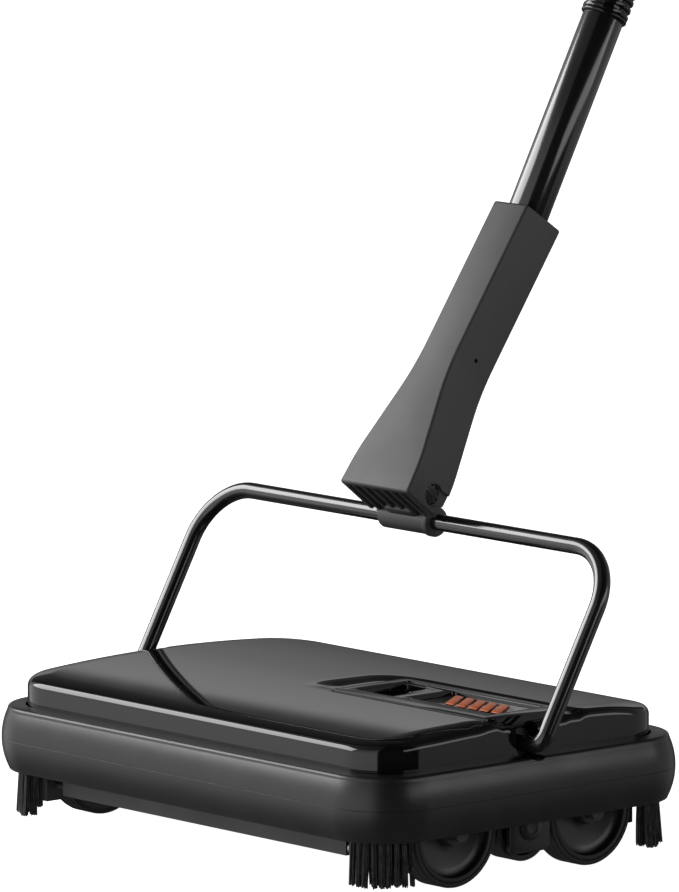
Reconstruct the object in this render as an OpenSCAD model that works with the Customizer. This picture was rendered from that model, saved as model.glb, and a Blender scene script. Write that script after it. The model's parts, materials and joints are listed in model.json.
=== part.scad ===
// Carpet sweeper: a low rolling body with a brush roll and two dust pans, a tilting bail and a long handle.
// Millimetres. +X runs along the wheel axles, -Y is the front, +Z is up.
// The origin lies on the floor under the middle of the body.

/* [Body] */
// Width of the bumper band, along the axles
body_w = 329; // [320:1:340]
// Depth of the bumper band, front to back
body_d = 231; // [224:1:240]
// Corner radius of the bumper band in plan
bumper_r = 37; // [34:1:40]
// Underside of the bumper band above the floor
bumper_z0 = 30; // [28:1:32]
// Top of the bumper band above the floor
bumper_z1 = 65; // [64:0.5:66]
// How far the bumper stands out from the lid
bumper_out = 13; // [12:0.5:14]
// Corner radius of the lid in plan
lid_r = 27; // [24:1:30]
// Height of the middle of the lid above the floor
lid_top = 84.9; // [84:0.1:86]
// How much lower the crowned lid is at its front and back edges
crown_drop = 5.1; // [3:0.1:6]
// Wall thickness of the moulded shells
wall = 2.6; // [2.2:0.1:3]

/* [Wheels and brush] */
// Radius of a wheel over its tyre
wheel_r = 29; // [28.5:0.1:29.3]
// Width of a wheel
wheel_w = 15; // [13:1:16]
// Distance of each axle from the brush axis, front to back
axle_y = 48; // [47.8:0.1:48.6]
// Distance of a wheel's outer face from the middle of the body
wheel_face_x = 149; // [147:0.5:150]
// Height of the brush axis above the floor
brush_z = 27; // [26.5:0.1:27.5]
// Radius of the brush over its bristle tips
brush_r = 26; // [24:0.5:26.4]
// Gap between a tyre and a drive drum
drive_gap = 0.35; // [0.3:0.05:0.6]

/* [Bail] */
// Diameter of the bail rod
rod_d = 9; // [8:0.1:9.4]
// Distance between the middles of the two legs
bail_w = 325; // [322:1:328]
// Distance from the pivots to the middle of the bar
bail_h = 110.6; // [108:0.1:114]
// Radius of the bends between the legs and the bar
bend_r = 32; // [26:1:36]
// Backward lean of the bail at rest
bail_lean = 29.5; // [25:0.5:33]
// Height of the bail pivots above the floor
pivot_z = 71; // [70:0.5:72]

/* [Handle] */
// Backward lean of the socket
socket_lean = 34.4; // [33:0.1:36]
// Backward lean of the tubes
tube_lean = 28.2; // [28:0.1:30]
// Diameter of the handle tubes
tube_d = 22.8; // [20:0.1:23]
// Wall of the handle tubes
tube_wall = 0.8; // [0.6:0.1:1.2]
// Length of each of the two upper tubes
tube_len = 262; // [240:2:280]
// Length of the foam grip
grip_len = 130; // [110:5:150]

/* [Control plate] */
// Width of the control plate along the axles
plate_w = 125; // [120:1:126]
// Depth of the control plate
plate_d = 54; // [50:1:56]
// Distance of the plate's middle from the middle of the body
plate_x = 83.5; // [82:0.5:84]

/* [Hidden] */

$fn = 64;
round_fn = 96;
eps = 0.01;
run_fit = 0.05;

gloss_black = [0.05, 0.05, 0.055];
satin_black = [0.09, 0.09, 0.095];
socket_grey = [0.2, 0.2, 0.21];
rubber_black = [0.07, 0.07, 0.07];
bristle_black = [0.06, 0.06, 0.06];
badge_orange = [0.85, 0.33, 0.14];
steel = [0.7, 0.7, 0.72];

lid_hx = body_w / 2 - bumper_out;
lid_hy = body_d / 2 - bumper_out;
body_hx = body_w / 2;
body_hy = body_d / 2;
bumper_mid = (bumper_z0 + bumper_z1) / 2;
bulge_r = 37;
bumper_t = 3.6;
deck_z = 60;
deck_t = 3;
lid_edge_r = 5;
crown_r = (lid_hy * lid_hy + crown_drop * crown_drop) / (2 * crown_drop);
side_x = 126;
side_t = 4;
side_z0 = 14;
skirt_hx = lid_hx - 4;
skirt_hy = lid_hy - 4;
skirt_r = lid_r - 4;
skirt_t = 3;
wheel_bay_y = axle_y + wheel_r + 2;

drum_r = sqrt(axle_y * axle_y + (wheel_r - brush_z) * (wheel_r - brush_z)) - wheel_r - drive_gap;
drum_x0 = wheel_face_x - wheel_w;
core_r = 12;
bristle_hx = 112;
spindle_r = 3;
spindle_hx = 153;
bracket_x0 = 150.4;
bracket_x1 = 154;
bracket_hy = 14;
bracket_z0 = 13.5;
axle_r = 3;
axle_bolt_r = 5;
axle_tip_x = 154.5;
tyre_t = 2.5;
hub_r = wheel_r - tyre_t;

notch_r = 8;
notch_x0 = lid_hx - 8;
pin_x0 = notch_x0 - 4.6;
pin_bend = 7;
bush_r = 7;
screw_places = [for (sx = [-1, 1], sy = [-1, 1]) [sx * 96, sy * 76]];

pan_hx = 115;
pan_y0 = 29;
pan_y1 = 94;
pan_z0 = 18;
pan_z1 = 52;
pan_t = 1.6;
pan_rod_y = 90;
pan_rod_z = 22;
pan_rod_r = 2;
pan_lip_z = 30;
comb_y = 21;
comb_z0 = 46;

plate_y = 4.5;
plate_z = lid_top + 0.4;
plate_hx = plate_w / 2;
plate_hy = plate_d / 2;
plate_r = 5;
recess_z = 71;
window_x = plate_x - 44.5;
window_y = plate_y + 1.5;
window_w = 15;
window_d = 34;
ramp_w = 19;
label_x = plate_x + 16;
label_y = plate_y + 5.5;
label_w = 67;
label_d = 32;
label_z = plate_z - 2.4;

paddle_w = 7;
paddle_pin_z = 74;
paddle_pin_y = window_y + 12;
paddle_pin_r = 1.5;
ramp_drop = 5;

tuft_r = 1.7;
tuft_rows = [[22.3, 9.8, 8], [26.3, 8.6, 9]];
tuft_z0 = 5;
holder_r = [20.3, 26.7, 28.4];
holder_z0 = 32;
holder_z1 = 35.6;

bar_y = bail_h * sin(bail_lean);
bar_z = pivot_z + bail_h * cos(bail_lean);
sleeve_r = 7.4;
sleeve_hx = 20;

socket_len = 176.5;
socket_top_w = 27;
socket_bottom_w = 55;
socket_splay = 1.5;
socket_neck = 74;
socket_shoulder = 20;
socket_back = -4.7;
socket_front = -34.2;
socket_floor = -1.6;
socket_rise = 2.1;
socket_wall = 2.4;
rib_t = 2.2;
pocket_z1 = 78;
hook_hx = 12;
barrel_y = -15.9;
barrel_z = 8.7;
barrel_r = 5.6;
barrel_hx = 24.5;
screw_y = -19;
screw_z = 88;
screw_r = 2;
screw_len = 9;
tube_offset = -19.8;
tube_seat = 18;
tube_lower_len = 117;

coupling_len = 26;
coupling_d = tube_d + 3;
insert_len = 20;
middle_z0 = tube_lower_len + coupling_len;
upper_z0 = middle_z0 + tube_len + coupling_len;
grip_d = 27;
cap_len = 24;
cap_edge = 6;
hang_r = 4;

// ---- helpers ----

// Points of an arc of radius r about [cx, cy], from angle a0 to a1
function arc(cx, cy, r, a0, a1, n = 8) =
    [for (i = [0:n]) let (a = a0 + (a1 - a0) * i / n) [cx + r * cos(a), cy + r * sin(a)]];

// Sweeps a profile, x outward and y up, round a rectangle with rounded corners.
// x = 0 of the profile lies over the middle of each corner's arc.
module round_corners(hx, hy, r) {
    cx = hx - r;
    cy = hy - r;
    for (q = [[1, 1, 0], [-1, 1, 90], [-1, -1, 180], [1, -1, 270]])
        translate([q[0] * cx, q[1] * cy, 0])
            rotate([0, 0, q[2]])
                rotate_extrude(angle = 90, $fn = round_fn) children();
    for (s = [-1, 1]) {
        translate([0, s * cy, 0])
            rotate([90, 0, s * 90])
                translate([0, 0, -cx]) linear_extrude(2 * cx) children();
        translate([s * cx, 0, 0])
            rotate([90, 0, 90 - s * 90])
                translate([0, 0, -cy]) linear_extrude(2 * cy) children();
    }
}

// A solid block with rounded vertical edges
module round_block(hx, hy, r, z0, z1) {
    translate([0, 0, z0]) linear_extrude(z1 - z0) round_plan(hx, hy, r);
}

module round_plan(hx, hy, r) {
    square([2 * hx, 2 * (hy - r)], center = true);
    square([2 * (hx - r), 2 * hy], center = true);
    for (sx = [-1, 1], sy = [-1, 1])
        translate([sx * (hx - r), sy * (hy - r)]) circle(r);
}

module rod_x(x0, x1, y, z, r) {
    translate([x0, y, z]) rotate([0, 90, 0]) cylinder(r = r, h = x1 - x0);
}

module both_sides() {
    children();
    mirror([1, 0, 0]) children();
}

module box(x0, x1, y0, y1, z0, z1) {
    translate([x0, y0, z0]) cube([x1 - x0, y1 - y0, z1 - z0]);
}

// ---- shells ----

// Outline of the lid's edge, from its rim up the side and round the edge
module lid_profile(inset, z0) {
    r = lid_edge_r - inset;
    side = lid_r - inset;
    top = lid_top - inset;
    polygon(concat([[0, z0], [side, z0]], arc(side - r, top - r, r, 0, 90, 8), [[0, top]]));
}

// Outline of the lid's section from front to back, with edges rounded into the crown.
// Above the edges it rises to an apex, clear of the crown's cylinder.
module lid_arch(inset, z0) {
    r = lid_edge_r - inset;
    crown_z = lid_top - crown_r;
    edge_y = lid_hy - lid_edge_r;
    edge_z = crown_z + sqrt(pow(crown_r - lid_edge_r, 2) - edge_y * edge_y);
    a = atan2(edge_z - crown_z, edge_y);
    back = arc(edge_y, edge_z, r, 0, a, 8);
    apex = back[8] + [-back[8][0], back[8][0] / tan(a)];
    polygon(concat([[lid_hy - inset, z0]], back, [apex], [for (i = [8:-1:0]) [-back[i][0], back[i][1]]],
        [[inset - lid_hy, z0]]));
}

module lid_solid(inset, z0) {
    intersection() {
        union() {
            round_corners(lid_hx, lid_hy, lid_r) lid_profile(inset, z0);
            box(-lid_hx + lid_r, lid_hx - lid_r, -lid_hy + lid_r, lid_hy - lid_r, z0, lid_top - inset);
        }
        translate([-lid_hx, 0, 0]) rotate([90, 0, 90]) linear_extrude(2 * lid_hx) lid_arch(inset, z0);
        translate([-lid_hx, 0, lid_top - crown_r]) rotate([0, 90, 0])
            cylinder(r = crown_r - inset, h = 2 * lid_hx, $fn = 1440);
    }
}

// The U-shaped notch in each side wall that the end of the bail turns into
module notch(r, x0) {
    rod_x(x0, body_hx + 1, 0, pivot_z, r);
    box(x0, body_hx + 1, -r, r, pivot_z, lid_top + r);
}

module top_housing() {
    color(gloss_black) difference() {
        lid_solid(0, deck_z + deck_t);
        difference() {
            lid_solid(wall, deck_z);
            both_sides() notch(notch_r + wall, notch_x0 - wall);
        }
        both_sides() notch(notch_r, notch_x0);
        both_sides() rod_x(notch_x0 - 2 * wall, notch_x0 + 1, 0, pivot_z, bush_r);
        translate([plate_x, plate_y, 0]) round_block(plate_hx, plate_hy, plate_r, recess_z, lid_top + 1);
    }
}

// Outline of the bumper's section: bulged outside, flat ledge on top, open underneath
module bumper_profile() {
    inner = bumper_r - bumper_out;
    difference() {
        intersection() {
            translate([bumper_r - bulge_r, bumper_mid]) circle(bulge_r, $fn = round_fn);
            translate([inner, bumper_z0]) square([bumper_out + 1, bumper_z1 - bumper_z0]);
        }
        intersection() {
            translate([bumper_r - bulge_r, bumper_mid]) circle(bulge_r - bumper_t, $fn = round_fn);
            translate([inner - 1, bumper_z0 - 1])
                square([bumper_out + 1, bumper_z1 - bumper_z0 + 1 - bumper_t]);
        }
    }
}

module bumper() {
    color(satin_black) difference() {
        round_corners(body_hx, body_hy, bumper_r) bumper_profile();
        both_sides() notch(notch_r, lid_hx - 2);
    }
}

// Frame under the lid: deck, side plates and skirt
module chassis() {
    color(satin_black) difference() {
        union() {
            round_block(lid_hx, lid_hy, lid_r, deck_z, deck_z + deck_t);
            difference() {
                round_block(skirt_hx, skirt_hy, skirt_r, bumper_z0 + 6, deck_z + eps);
                round_block(skirt_hx - skirt_t, skirt_hy - skirt_t, skirt_r - skirt_t, bumper_z0, deck_z);
                both_sides()
                    box(side_x + side_t / 2, lid_hx, -wheel_bay_y, wheel_bay_y, bumper_z0, deck_z);
            }
            both_sides()
                box(side_x - side_t / 2, side_x + side_t / 2, -skirt_hy + 1, skirt_hy - 1,
                    side_z0, deck_z + eps);
        }
        both_sides() {
            rod_x(side_x - side_t, side_x + side_t, 0, brush_z, spindle_r + 1.5);
            for (s = [-1, 1]) {
                rod_x(side_x - side_t, side_x + side_t, s * axle_y, wheel_r, axle_bolt_r);
                rod_x(side_x - side_t, side_x + side_t, s * pan_rod_y, pan_rod_z, pan_rod_r);
            }
        }
        for (p = screw_places)
            translate([p[0], p[1], deck_z - 1]) cylinder(r = 2, h = deck_t + 2);
    }
}

module housing_screws() {
    color(steel) for (p = screw_places) translate([p[0], p[1], 0]) {
        translate([0, 0, deck_z]) cylinder(r = 2, h = deck_t + 4);
        translate([0, 0, deck_z - 2]) cylinder(r = 4, h = 2);
    }
}

// Control plate let into the lid, with a finger slot, a scoop beside it and a sunk badge field
module bezel() {
    color(gloss_black) difference() {
        union() {
            translate([plate_x, plate_y, 0])
                round_block(plate_hx, plate_hy, plate_r, lid_top - wall - 3, plate_z);
            box(window_x - window_w / 2 - 2, window_x + window_w / 2 + 2,
                window_y - window_d / 2 - 2, window_y + window_d / 2 + 2, recess_z - 2, plate_z - 2);
        }
        box(window_x - window_w / 2, window_x + window_w / 2,
            window_y - window_d / 2, window_y + window_d / 2, recess_z - 3, plate_z + 1);
        translate([window_x + window_w / 2 - eps, window_y + window_d / 2, 0]) rotate([90, 0, 0])
            linear_extrude(window_d)
                polygon([[0, plate_z - ramp_drop], [ramp_w, plate_z], [ramp_w, plate_z + 1],
                    [0, plate_z + 1]]);
        translate([label_x, label_y, 0])
            round_block(label_w / 2, label_d / 2, 2, label_z, plate_z + 1);
        rod_x(window_x - window_w / 2 - 2.5, window_x + window_w / 2 + 2.5,
            paddle_pin_y, paddle_pin_z, paddle_pin_r);
    }
}

// Raised slanted bars in the badge field
module badge() {
    bar_w = 6.4;
    pitch = 9;
    slant = -14;
    bar_d = 20;
    color(badge_orange) for (i = [-2:2])
        translate([label_x + i * pitch, label_y + 2, label_z]) linear_extrude(0.8)
            polygon([[-bar_w / 2 - slant / 2, -bar_d / 2], [bar_w / 2 - slant / 2, -bar_d / 2],
                [bar_w / 2 + slant / 2, bar_d / 2], [-bar_w / 2 + slant / 2, bar_d / 2]]);
}

module release_paddle() {
    x0 = window_x - window_w / 2 + 0.5;
    color(satin_black) difference() {
        union() {
            box(x0, x0 + paddle_w, window_y - window_d / 2 + 0.6, window_y + window_d / 2 - 0.6,
                paddle_pin_z + 2, paddle_pin_z + 5.5);
            rod_x(x0, x0 + paddle_w, paddle_pin_y, paddle_pin_z, 3.2);
        }
        rod_x(x0 - 1, x0 + paddle_w + 1, paddle_pin_y, paddle_pin_z, paddle_pin_r + run_fit);
    }
}

module paddle_pin() {
    color(steel) rod_x(window_x - window_w / 2 - 2, window_x + window_w / 2 + 2,
        paddle_pin_y, paddle_pin_z, paddle_pin_r);
}

// A coil along X whose turns are joined by one straight leg on top
module coil_x(x0, x1, y, z, r, wire, turns) {
    pitch = (x1 - x0 - 2 * wire) / (turns - 1);
    for (i = [0:turns - 1])
        translate([x0 + wire + i * pitch, y, z]) rotate([0, 90, 0])
            rotate_extrude() translate([r, 0]) circle(wire, $fn = 16);
    rod_x(x0, x1, y, z + r, wire);
}

module paddle_spring() {
    color(steel) coil_x(window_x - window_w / 2 + paddle_w + 1.3, window_x + window_w / 2,
        paddle_pin_y, paddle_pin_z, 2.6, 0.45, 6);
}

// ---- running gear ----

// Plate outside each drive drum that holds the end of the brush spindle
module bearing_bracket(s) {
    color(satin_black) mirror([s > 0 ? 0 : 1, 0, 0]) difference() {
        union() {
            translate([bracket_x0, 0, 0]) rotate([90, 0, 90]) linear_extrude(bracket_x1 - bracket_x0)
                union() {
                    translate([-bracket_hy, brush_z - 6]) square([2 * bracket_hy, deck_z - brush_z + 6]);
                    translate([-bracket_hy + 3, bracket_z0]) square([2 * bracket_hy - 6, brush_z]);
                    translate([-bracket_hy, bracket_z0 + 3]) square([2 * bracket_hy, brush_z]);
                }
            box(skirt_hx + 0.5, bracket_x1, -bracket_hy, bracket_hy, deck_z - 4, deck_z);
            rod_x(bracket_x0, bracket_x1 + 2, 0, brush_z, 7);
        }
        rod_x(bracket_x0 - 1, spindle_hx + 0.4, 0, brush_z, spindle_r + run_fit);
    }
}

module bearing_bracket_left() bearing_bracket(-1);
module bearing_bracket_right() bearing_bracket(1);

// Stub axle: a shoulder in the side plate, the journal and a head that keeps the wheel on
module axle(sx, sy) {
    color(steel) mirror([sx > 0 ? 0 : 1, 0, 0]) {
        rod_x(side_x - side_t / 2 - 2, drum_x0 - 0.6, sy * axle_y, wheel_r, axle_bolt_r);
        rod_x(side_x, axle_tip_x, sy * axle_y, wheel_r, axle_r);
        rod_x(wheel_face_x + 1.2, axle_tip_x, sy * axle_y, wheel_r, axle_r + 1.2);
    }
}

module axle_front_left() axle(-1, -1);
module axle_front_right() axle(1, -1);
module axle_rear_left() axle(-1, 1);
module axle_rear_right() axle(1, 1);

// Dished wheel: rim, thin web and a boss on the journal, with its face outward
module hub(sx, sy) {
    color(satin_black) mirror([sx > 0 ? 0 : 1, 0, 0])
        translate([drum_x0, sy * axle_y, wheel_r]) rotate([0, 90, 0]) rotate_extrude($fn = round_fn)
            union() {
                bore = axle_r + run_fit;
                translate([hub_r - 3, 0]) square([3, wheel_w]);
                translate([bore, 5]) square([hub_r - bore, 3]);
                translate([bore, 0.4]) square([4, wheel_w + 0.4]);
            }
}

module hub_front_left() hub(-1, -1);
module hub_front_right() hub(1, -1);
module hub_rear_left() hub(-1, 1);
module hub_rear_right() hub(1, 1);

module tyre(sx, sy) {
    color(rubber_black) mirror([sx > 0 ? 0 : 1, 0, 0])
        translate([drum_x0, sy * axle_y, wheel_r]) rotate([0, 90, 0]) rotate_extrude($fn = round_fn)
            polygon([[hub_r, 0], [wheel_r - 1, 0], [wheel_r, 1], [wheel_r, wheel_w - 1],
                [wheel_r - 1, wheel_w], [hub_r, wheel_w]]);
}

module tyre_front_left() tyre(-1, -1);
module tyre_front_right() tyre(1, -1);
module tyre_rear_left() tyre(-1, 1);
module tyre_rear_right() tyre(1, 1);

module brush_spindle() {
    color(steel) rod_x(-spindle_hx, spindle_hx, 0, brush_z, spindle_r);
}

module brush_core() {
    color(satin_black) difference() {
        rod_x(-bristle_hx - 3, bristle_hx + 3, 0, brush_z, core_r);
        rod_x(-bristle_hx - 4, bristle_hx + 4, 0, brush_z, spindle_r);
    }
}

// Rows of bristles that stand on the core
module brush_bristles() {
    rows = 8;
    color(bristle_black) difference() {
        intersection() {
            rod_x(-bristle_hx, bristle_hx, 0, brush_z, brush_r);
            for (i = [0:rows / 2 - 1])
                translate([0, 0, brush_z]) rotate([i * 360 / rows, 0, 0])
                    cube([2 * bristle_hx, 4, 2 * brush_r + 2], center = true);
        }
        rod_x(-bristle_hx - 1, bristle_hx + 1, 0, brush_z, core_r);
    }
}

module drive_drum(s) {
    color(rubber_black) mirror([s > 0 ? 0 : 1, 0, 0])
        translate([drum_x0, 0, brush_z]) rotate([0, 90, 0]) rotate_extrude($fn = round_fn) union() {
            translate([drum_r - 3, 0]) square([3, wheel_w]);
            translate([spindle_r, 5]) square([drum_r - spindle_r, 4]);
            translate([spindle_r, 0]) square([4, wheel_w]);
        }
}

module drive_drum_left() drive_drum(-1);
module drive_drum_right() drive_drum(1);

// Toothed strip under the deck that combs fluff off the brush
module bristle_comb() {
    teeth = 36;
    pitch = 2 * bristle_hx / teeth;
    color(satin_black) {
        box(-bristle_hx, bristle_hx, comb_y, comb_y + 2.4, deck_z - 6, deck_z);
        for (i = [0:teeth - 1])
            box(-bristle_hx + i * pitch, -bristle_hx + i * pitch + pitch / 2,
                comb_y, comb_y + 2.4, comb_z0, deck_z - 6);
    }
}

// ---- dust pans ----

// Open tray with a knuckle along its outer edge and a low lip towards the brush
module dust_pan(s) {
    color(satin_black) mirror([0, s > 0 ? 0 : 1, 0]) difference() {
        union() {
            difference() {
                box(-pan_hx, pan_hx, pan_y0, pan_y1, pan_z0, pan_z1);
                box(-pan_hx + pan_t, pan_hx - pan_t, pan_y0 + pan_t, pan_y1 - pan_t,
                    pan_z0 + pan_t, pan_z1 + 1);
                box(-pan_hx + pan_t, pan_hx - pan_t, pan_y0 - 1, pan_y0 + 2 * pan_t, pan_lip_z, pan_z1 + 1);
            }
            rod_x(-pan_hx, pan_hx, pan_rod_y, pan_rod_z, pan_y1 - pan_rod_y);
        }
        rod_x(-pan_hx - 1, pan_hx + 1, pan_rod_y, pan_rod_z, pan_rod_r + run_fit);
    }
}

module front_dust_pan() dust_pan(-1);
module rear_dust_pan() dust_pan(1);

module pan_rod(s) {
    rod_hx = side_x + side_t / 2;
    color(steel) rod_x(-rod_hx, rod_hx, s * pan_rod_y, pan_rod_z, pan_rod_r);
}

module front_pan_rod() pan_rod(-1);
module rear_pan_rod() pan_rod(1);

module pan_spring(s) {
    color(steel) coil_x(pan_hx + 1, side_x - side_t / 2, s * pan_rod_y, pan_rod_z, 3.6, 0.6, 5);
}

module front_pan_spring() pan_spring(-1);
module rear_pan_spring() pan_spring(1);

// ---- corner brushes ----

module at_corner(sx, sy) {
    mirror([sx > 0 ? 0 : 1, 0, 0]) mirror([0, sy > 0 ? 0 : 1, 0])
        translate([body_hx - bumper_r, body_hy - bumper_r, 0]) children();
}

// Places children at each clump of a corner's two rows, each given as its radius, step and count
module at_clumps() {
    for (row = tuft_rows, i = [0:row[2] - 1])
        rotate([0, 0, 45 + (i - (row[2] - 1) / 2) * row[1]]) translate([row[0], 0, 0]) children();
}

module tuft(sx, sy) {
    color(bristle_black) at_corner(sx, sy) at_clumps()
        translate([0, 0, tuft_z0]) cylinder(r = tuft_r, h = holder_z0 + 3 - tuft_z0, $fn = 24);
}

module tuft_front_left() tuft(-1, -1);
module tuft_front_right() tuft(1, -1);
module tuft_rear_left() tuft(-1, 1);
module tuft_rear_right() tuft(1, 1);

module holder(sx, sy) {
    color(satin_black) at_corner(sx, sy) difference() {
        rotate([0, 0, 5]) rotate_extrude(angle = 80, $fn = round_fn) union() {
            translate([holder_r[0], holder_z0]) square([holder_r[1] - holder_r[0], deck_z - holder_z0]);
            translate([holder_r[0], holder_z0]) square([holder_r[2] - holder_r[0], holder_z1 - holder_z0]);
        }
        at_clumps() translate([0, 0, holder_z0 - 1]) cylinder(r = tuft_r, h = 4, $fn = 24);
    }
}

module holder_front_left() holder(-1, -1);
module holder_front_right() holder(1, -1);
module holder_rear_left() holder(-1, 1);
module holder_rear_right() holder(1, 1);

// ---- bail ----

module bush(s) {
    color(satin_black) mirror([s > 0 ? 0 : 1, 0, 0]) difference() {
        union() {
            rod_x(notch_x0 - wall - 2, notch_x0, 0, pivot_z, bush_r);
            rod_x(notch_x0, notch_x0 + 2, 0, pivot_z, bush_r + 0.6);
        }
        rod_x(notch_x0 - wall - 3, notch_x0 + 3, 0, pivot_z, rod_d / 2 + run_fit);
    }
}

module bush_left() bush(-1);
module bush_right() bush(1);

// A quarter bend of the rod in the plane of the bail, about [cx, cz], from angle a
module bend(cx, cz, r, a) {
    translate([cx, 0, cz]) rotate([90, 0, 0]) rotate([0, 0, a])
        rotate_extrude(angle = 90, $fn = round_fn) translate([r, 0]) circle(rod_d / 2, $fn = 48);
}

module bail() {
    hx = bail_w / 2;
    color(gloss_black) translate([0, 0, pivot_z]) rotate([-bail_lean, 0, 0]) {
        rod_x(-hx + bend_r, hx - bend_r, 0, bail_h, rod_d / 2);
        bend(hx - bend_r, bail_h - bend_r, bend_r, 0);
        bend(-hx + bend_r, bail_h - bend_r, bend_r, 90);
        bend(hx - pin_bend, pin_bend, pin_bend, 270);
        bend(-hx + pin_bend, pin_bend, pin_bend, 180);
        for (s = [-1, 1]) {
            translate([s * hx, 0, pin_bend]) cylinder(d = rod_d, h = bail_h - bend_r - pin_bend, $fn = 48);
            rod_x(s > 0 ? pin_x0 : -hx + pin_bend, s > 0 ? hx - pin_bend : -pin_x0, 0, 0, rod_d / 2);
        }
    }
}

// ---- handle ----

// Places children at the bail's bar, with z along the socket and y square to it, to the back
module at_socket() {
    translate([0, bar_y, bar_z]) rotate([-socket_lean, 0, 0]) children();
}

// Places children where the tube leaves the socket, with z along the tube
module at_tube() {
    translate([0, bar_y, bar_z]) rotate([-socket_lean, 0, 0]) translate([0, tube_offset, socket_len])
        rotate([socket_lean - tube_lean, 0, 0]) children();
}

module bail_sleeve() {
    color(socket_grey) difference() {
        union() {
            rod_x(-sleeve_hx, sleeve_hx, bar_y, bar_z, sleeve_r);
            rod_x(sleeve_hx - 4, sleeve_hx, bar_y, bar_z, sleeve_r + 0.8);
        }
        rod_x(-sleeve_hx - 1, sleeve_hx + 1, bar_y, bar_z, rod_d / 2 + run_fit);
    }
}

// Outline of the socket seen square to its front: narrow neck, flared foot
module socket_front_plan(inset) {
    foot = socket_bottom_w / 2 - inset;
    neck = socket_top_w / 2 - inset;
    top = socket_len - (inset > 0 ? tube_seat + 4 : 0);
    hip = foot - socket_splay;
    polygon([[-foot, socket_floor - inset], [foot, socket_floor - inset], [hip, socket_shoulder],
        [neck, socket_neck], [neck, top], [-neck, top], [-neck, socket_neck], [-hip, socket_shoulder]]);
}

module socket_block(inset) {
    y0 = socket_front + inset;
    y1 = socket_back - inset;
    translate([0, y1, 0]) rotate([90, 0, 0]) linear_extrude(y1 - y0) socket_front_plan(inset);
}

module handle_socket() {
    slots = 7;
    pitch = (socket_bottom_w - rib_t) / slots;
    color(socket_grey) difference() {
        at_socket() difference() {
            union() {
                difference() {
                    socket_block(0);
                    // moulded pockets between the ribs of the open foot
                    intersection() {
                        socket_block(socket_wall);
                        for (i = [0:slots - 1])
                            translate([-socket_bottom_w / 2 + i * pitch, 0, 0])
                                box(rib_t, pitch, socket_front, socket_back, socket_floor - 1, pocket_z1);
                    }
                }
                box(-hook_hx, hook_hx, socket_back - 8, socket_back + 9, -2, socket_shoulder + 8);
            }
            // the underside rises towards the front
            translate([-socket_bottom_w, 0, 0]) rotate([90, 0, 90]) linear_extrude(2 * socket_bottom_w)
                polygon([[socket_front - 1, socket_floor - 1], [socket_back, socket_floor - 1],
                    [socket_back, socket_floor], [socket_front - 1, socket_floor + socket_rise]]);
            rod_x(-socket_bottom_w, socket_bottom_w, barrel_y, barrel_z, barrel_r);
            // a mouth in each side wall, open to the back, that shows the end of the barrel
            both_sides() {
                rod_x(barrel_hx, socket_bottom_w, barrel_y, barrel_z, barrel_r + 0.8);
                box(barrel_hx, socket_bottom_w, barrel_y, socket_back + 1, barrel_z - 4.5, barrel_z + 5);
            }
            rod_x(-socket_bottom_w, socket_bottom_w, 0, 0, sleeve_r);
            rod_x(sleeve_hx - 4.3, socket_bottom_w, 0, 0, sleeve_r + 1.1);
            rod_x(socket_top_w / 2 - screw_len, socket_top_w, screw_y, screw_z, screw_r);
        }
        at_tube() translate([0, 0, -tube_seat]) cylinder(d = tube_d, h = tube_seat + 10, $fn = round_fn);
    }
}

module detent_barrel() {
    grooves = 9;
    color(satin_black) at_socket() difference() {
        rod_x(-barrel_hx, barrel_hx, barrel_y, barrel_z, barrel_r);
        for (i = [0:grooves - 1])
            translate([0, barrel_y, barrel_z]) rotate([i * 360 / grooves, 0, 0])
                translate([barrel_hx - 3, -0.6, barrel_r - 1]) cube([4, 1.2, 2]);
    }
}

module socket_screw() {
    color(steel) at_socket() difference() {
        rod_x(socket_top_w / 2 - screw_len, socket_top_w / 2 - 0.6, screw_y, screw_z, screw_r);
        translate([socket_top_w / 2 - 1.2, screw_y - 0.4, screw_z - screw_r]) cube([2, 0.8, 2 * screw_r]);
    }
}

module tube(z0, z1) {
    color(gloss_black) at_tube() translate([0, 0, z0]) difference() {
        cylinder(d = tube_d, h = z1 - z0, $fn = round_fn);
        translate([0, 0, -1]) cylinder(d = tube_d - 2 * tube_wall, h = z1 - z0 + 2, $fn = round_fn);
    }
}

module tube_lower() tube(-tube_seat, tube_lower_len);
module tube_middle() tube(middle_z0, middle_z0 + tube_len);
module tube_upper() tube(upper_z0, upper_z0 + tube_len);

// Ribbed collar with a shank that plugs into the tube on each side
module coupling(z0) {
    rings = 5;
    pitch = (coupling_len - 4) / rings;
    color(gloss_black) at_tube() translate([0, 0, z0]) difference() {
        union() {
            translate([0, 0, -insert_len])
                cylinder(d = tube_d - 2 * tube_wall, h = coupling_len + 2 * insert_len, $fn = round_fn);
            cylinder(d = tube_d, h = coupling_len, $fn = round_fn);
            cylinder(d1 = tube_d, d2 = coupling_d, h = 2, $fn = round_fn);
            for (i = [0:rings - 1])
                translate([0, 0, 2 + i * pitch]) cylinder(d = coupling_d, h = pitch * 0.6, $fn = round_fn);
        }
        translate([0, 0, -insert_len - 1])
            cylinder(d = tube_d - 8, h = coupling_len + 2 * insert_len + 2, $fn = round_fn);
    }
}

module coupling_lower() coupling(tube_lower_len);
module coupling_upper() coupling(middle_z0 + tube_len);

module grip() {
    color(rubber_black) at_tube() translate([0, 0, upper_z0 + tube_len - grip_len]) difference() {
        cylinder(d = grip_d, h = grip_len, $fn = round_fn);
        translate([0, 0, -1]) cylinder(d = tube_d, h = grip_len + 2, $fn = round_fn);
    }
}

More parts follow.
